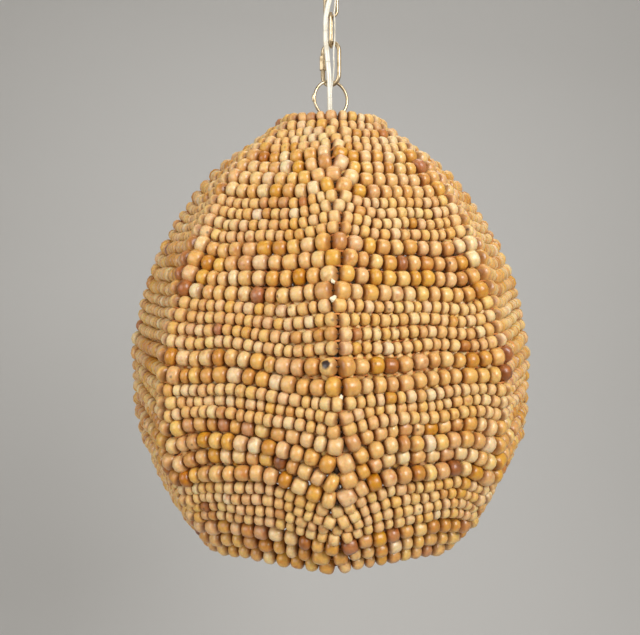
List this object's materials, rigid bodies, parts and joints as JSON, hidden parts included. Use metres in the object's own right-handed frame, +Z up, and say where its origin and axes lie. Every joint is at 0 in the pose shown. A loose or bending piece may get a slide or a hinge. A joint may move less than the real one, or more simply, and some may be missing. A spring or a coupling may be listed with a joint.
{
  "type": "beaded pendant chandelier",
  "caption": "Egg-shaped pendant lamp: strands of round wooden beads on a ribbed wire frame, hung by ring, quick link and chain links from a round canopy.",
  "frame": {"origin": "centre of the canopy's bracket face on the ceiling", "axes": "+Z up, out of the ceiling face; -Y towards the viewer of the picture; +X to the viewer's right"},
  "size_m": [0.493, 0.493, 0.7075],
  "materials": {
    "wood_small": "pale unpolished small beads",
    "wood_large": "honey coloured satin large beads",
    "antique_brass": "antique brass plating, satin, slightly worn",
    "dark_iron": "dark bronze paint",
    "zinc_steel": "zinc plated",
    "ivory_plastic": "ivory moulded plastic",
    "cord_jacket": "translucent ivory cord jacket",
    "bulb_brass": "screw base",
    "bulb_glass": "frosted glass"
  },
  "bodies": {
    "canopy": {"ceiling_bracket": "zinc_steel", "box_screw_1": "zinc_steel", "box_screw_2": "zinc_steel", "hanging_stud": "zinc_steel", "canopy_shell": "antique_brass", "collar_nut": "antique_brass", "canopy_loop": "antique_brass", "canopy_bushing": "ivory_plastic", "supply_cord": "cord_jacket", "earth_wire": "cord_jacket"},
    "upper_link": {"chain_link_upper": "antique_brass"},
    "lower_link": {"chain_link_lower": "antique_brass"},
    "quick_link": {"quick_link": "antique_brass"},
    "link_sleeve": {"quick_link_sleeve": "antique_brass"},
    "hanging_ring": {"hanging_ring": "antique_brass"},
    "shade": {"hub_loop": "dark_iron", "spider_plate": "dark_iron", "hub_bushing": "ivory_plastic", "stem_coupling": "dark_iron", "top_hoop": "dark_iron", "bottom_hoop": "dark_iron", "rib_1": "dark_iron", "rib_2": "dark_iron", "rib_3": "dark_iron", "rib_4": "dark_iron", "rib_5": "dark_iron", "rib_6": "dark_iron", "rib_7": "dark_iron", "rib_8": "dark_iron", "bead_rows_01_03": "wood_small", "bead_rows_04_05": "wood_small", "bead_rows_06_07": "wood_large", "bead_rows_08_09": "wood_large", "bead_rows_10_11": "wood_small", "bead_rows_12_13": "wood_small", "bead_rows_14_15": "wood_large", "bead_rows_16_17": "wood_large", "bead_rows_18_19": "wood_small", "bead_rows_20_21": "wood_small", "bead_rows_22_23": "wood_large", "bead_rows_24_26": "wood_small", "bead_rows_27_28": "wood_large", "bead_rows_29_30": "wood_large", "bead_rows_31_32": "wood_small", "bead_rows_33_34": "wood_small", "bead_rows_35_37": "wood_large", "stem_tube": "dark_iron", "cluster_body": "dark_iron", "cluster_nut": "dark_iron", "socket_1": "ivory_plastic", "socket_2": "ivory_plastic", "socket_3": "ivory_plastic"},
    "bulb_1": {"bulb_base_1": "bulb_brass", "bulb_glass_1": "bulb_glass"},
    "bulb_2": {"bulb_base_2": "bulb_brass", "bulb_glass_2": "bulb_glass"},
    "bulb_3": {"bulb_base_3": "bulb_brass", "bulb_glass_3": "bulb_glass"}
  },
  "joints": [
    {"name": "upper_link_swing", "type": "hinge", "parent": "canopy", "child": "upper_link", "pos_m": [0, 0, -0.0583], "axis": [0, 1, 0], "range_deg": [-30, 30]},
    {"name": "lower_link_swing", "type": "hinge", "parent": "upper_link", "child": "lower_link", "pos_m": [0, 0, -0.0943], "axis": [1, 0, 0], "range_deg": [-30, 30]},
    {"name": "quick_link_swing", "type": "hinge", "parent": "lower_link", "child": "quick_link", "pos_m": [0, 0, -0.1304], "axis": [0.1045, 0.9945, 0], "range_deg": [-15, 15]},
    {"name": "ring_swing", "type": "hinge", "parent": "quick_link", "child": "hanging_ring", "pos_m": [0, 0, -0.1771], "axis": [0.866, -0.5, 0], "range_deg": [-15, 15]},
    {"name": "shade_swing", "type": "hinge", "parent": "hanging_ring", "child": "shade", "pos_m": [0, 0, -0.2163], "axis": [0.9135, 0.4067, 0], "range_deg": [-15, 15], "deforming": ["supply_cord", "earth_wire"]},
    {"name": "link_sleeve_unscrew", "type": "slide", "parent": "quick_link", "child": "link_sleeve", "axis": [0, 0, 1], "range_m": [0, 0.0055]},
    {"name": "bulb_1_unscrew", "type": "slide", "parent": "shade", "child": "bulb_1", "axis": [0, 0, -1], "range_m": [0, 0.024]},
    {"name": "bulb_2_unscrew", "type": "slide", "parent": "shade", "child": "bulb_2", "axis": [0, 0, -1], "range_m": [0, 0.024]},
    {"name": "bulb_3_unscrew", "type": "slide", "parent": "shade", "child": "bulb_3", "axis": [0, 0, -1], "range_m": [0, 0.024]}
  ]
}
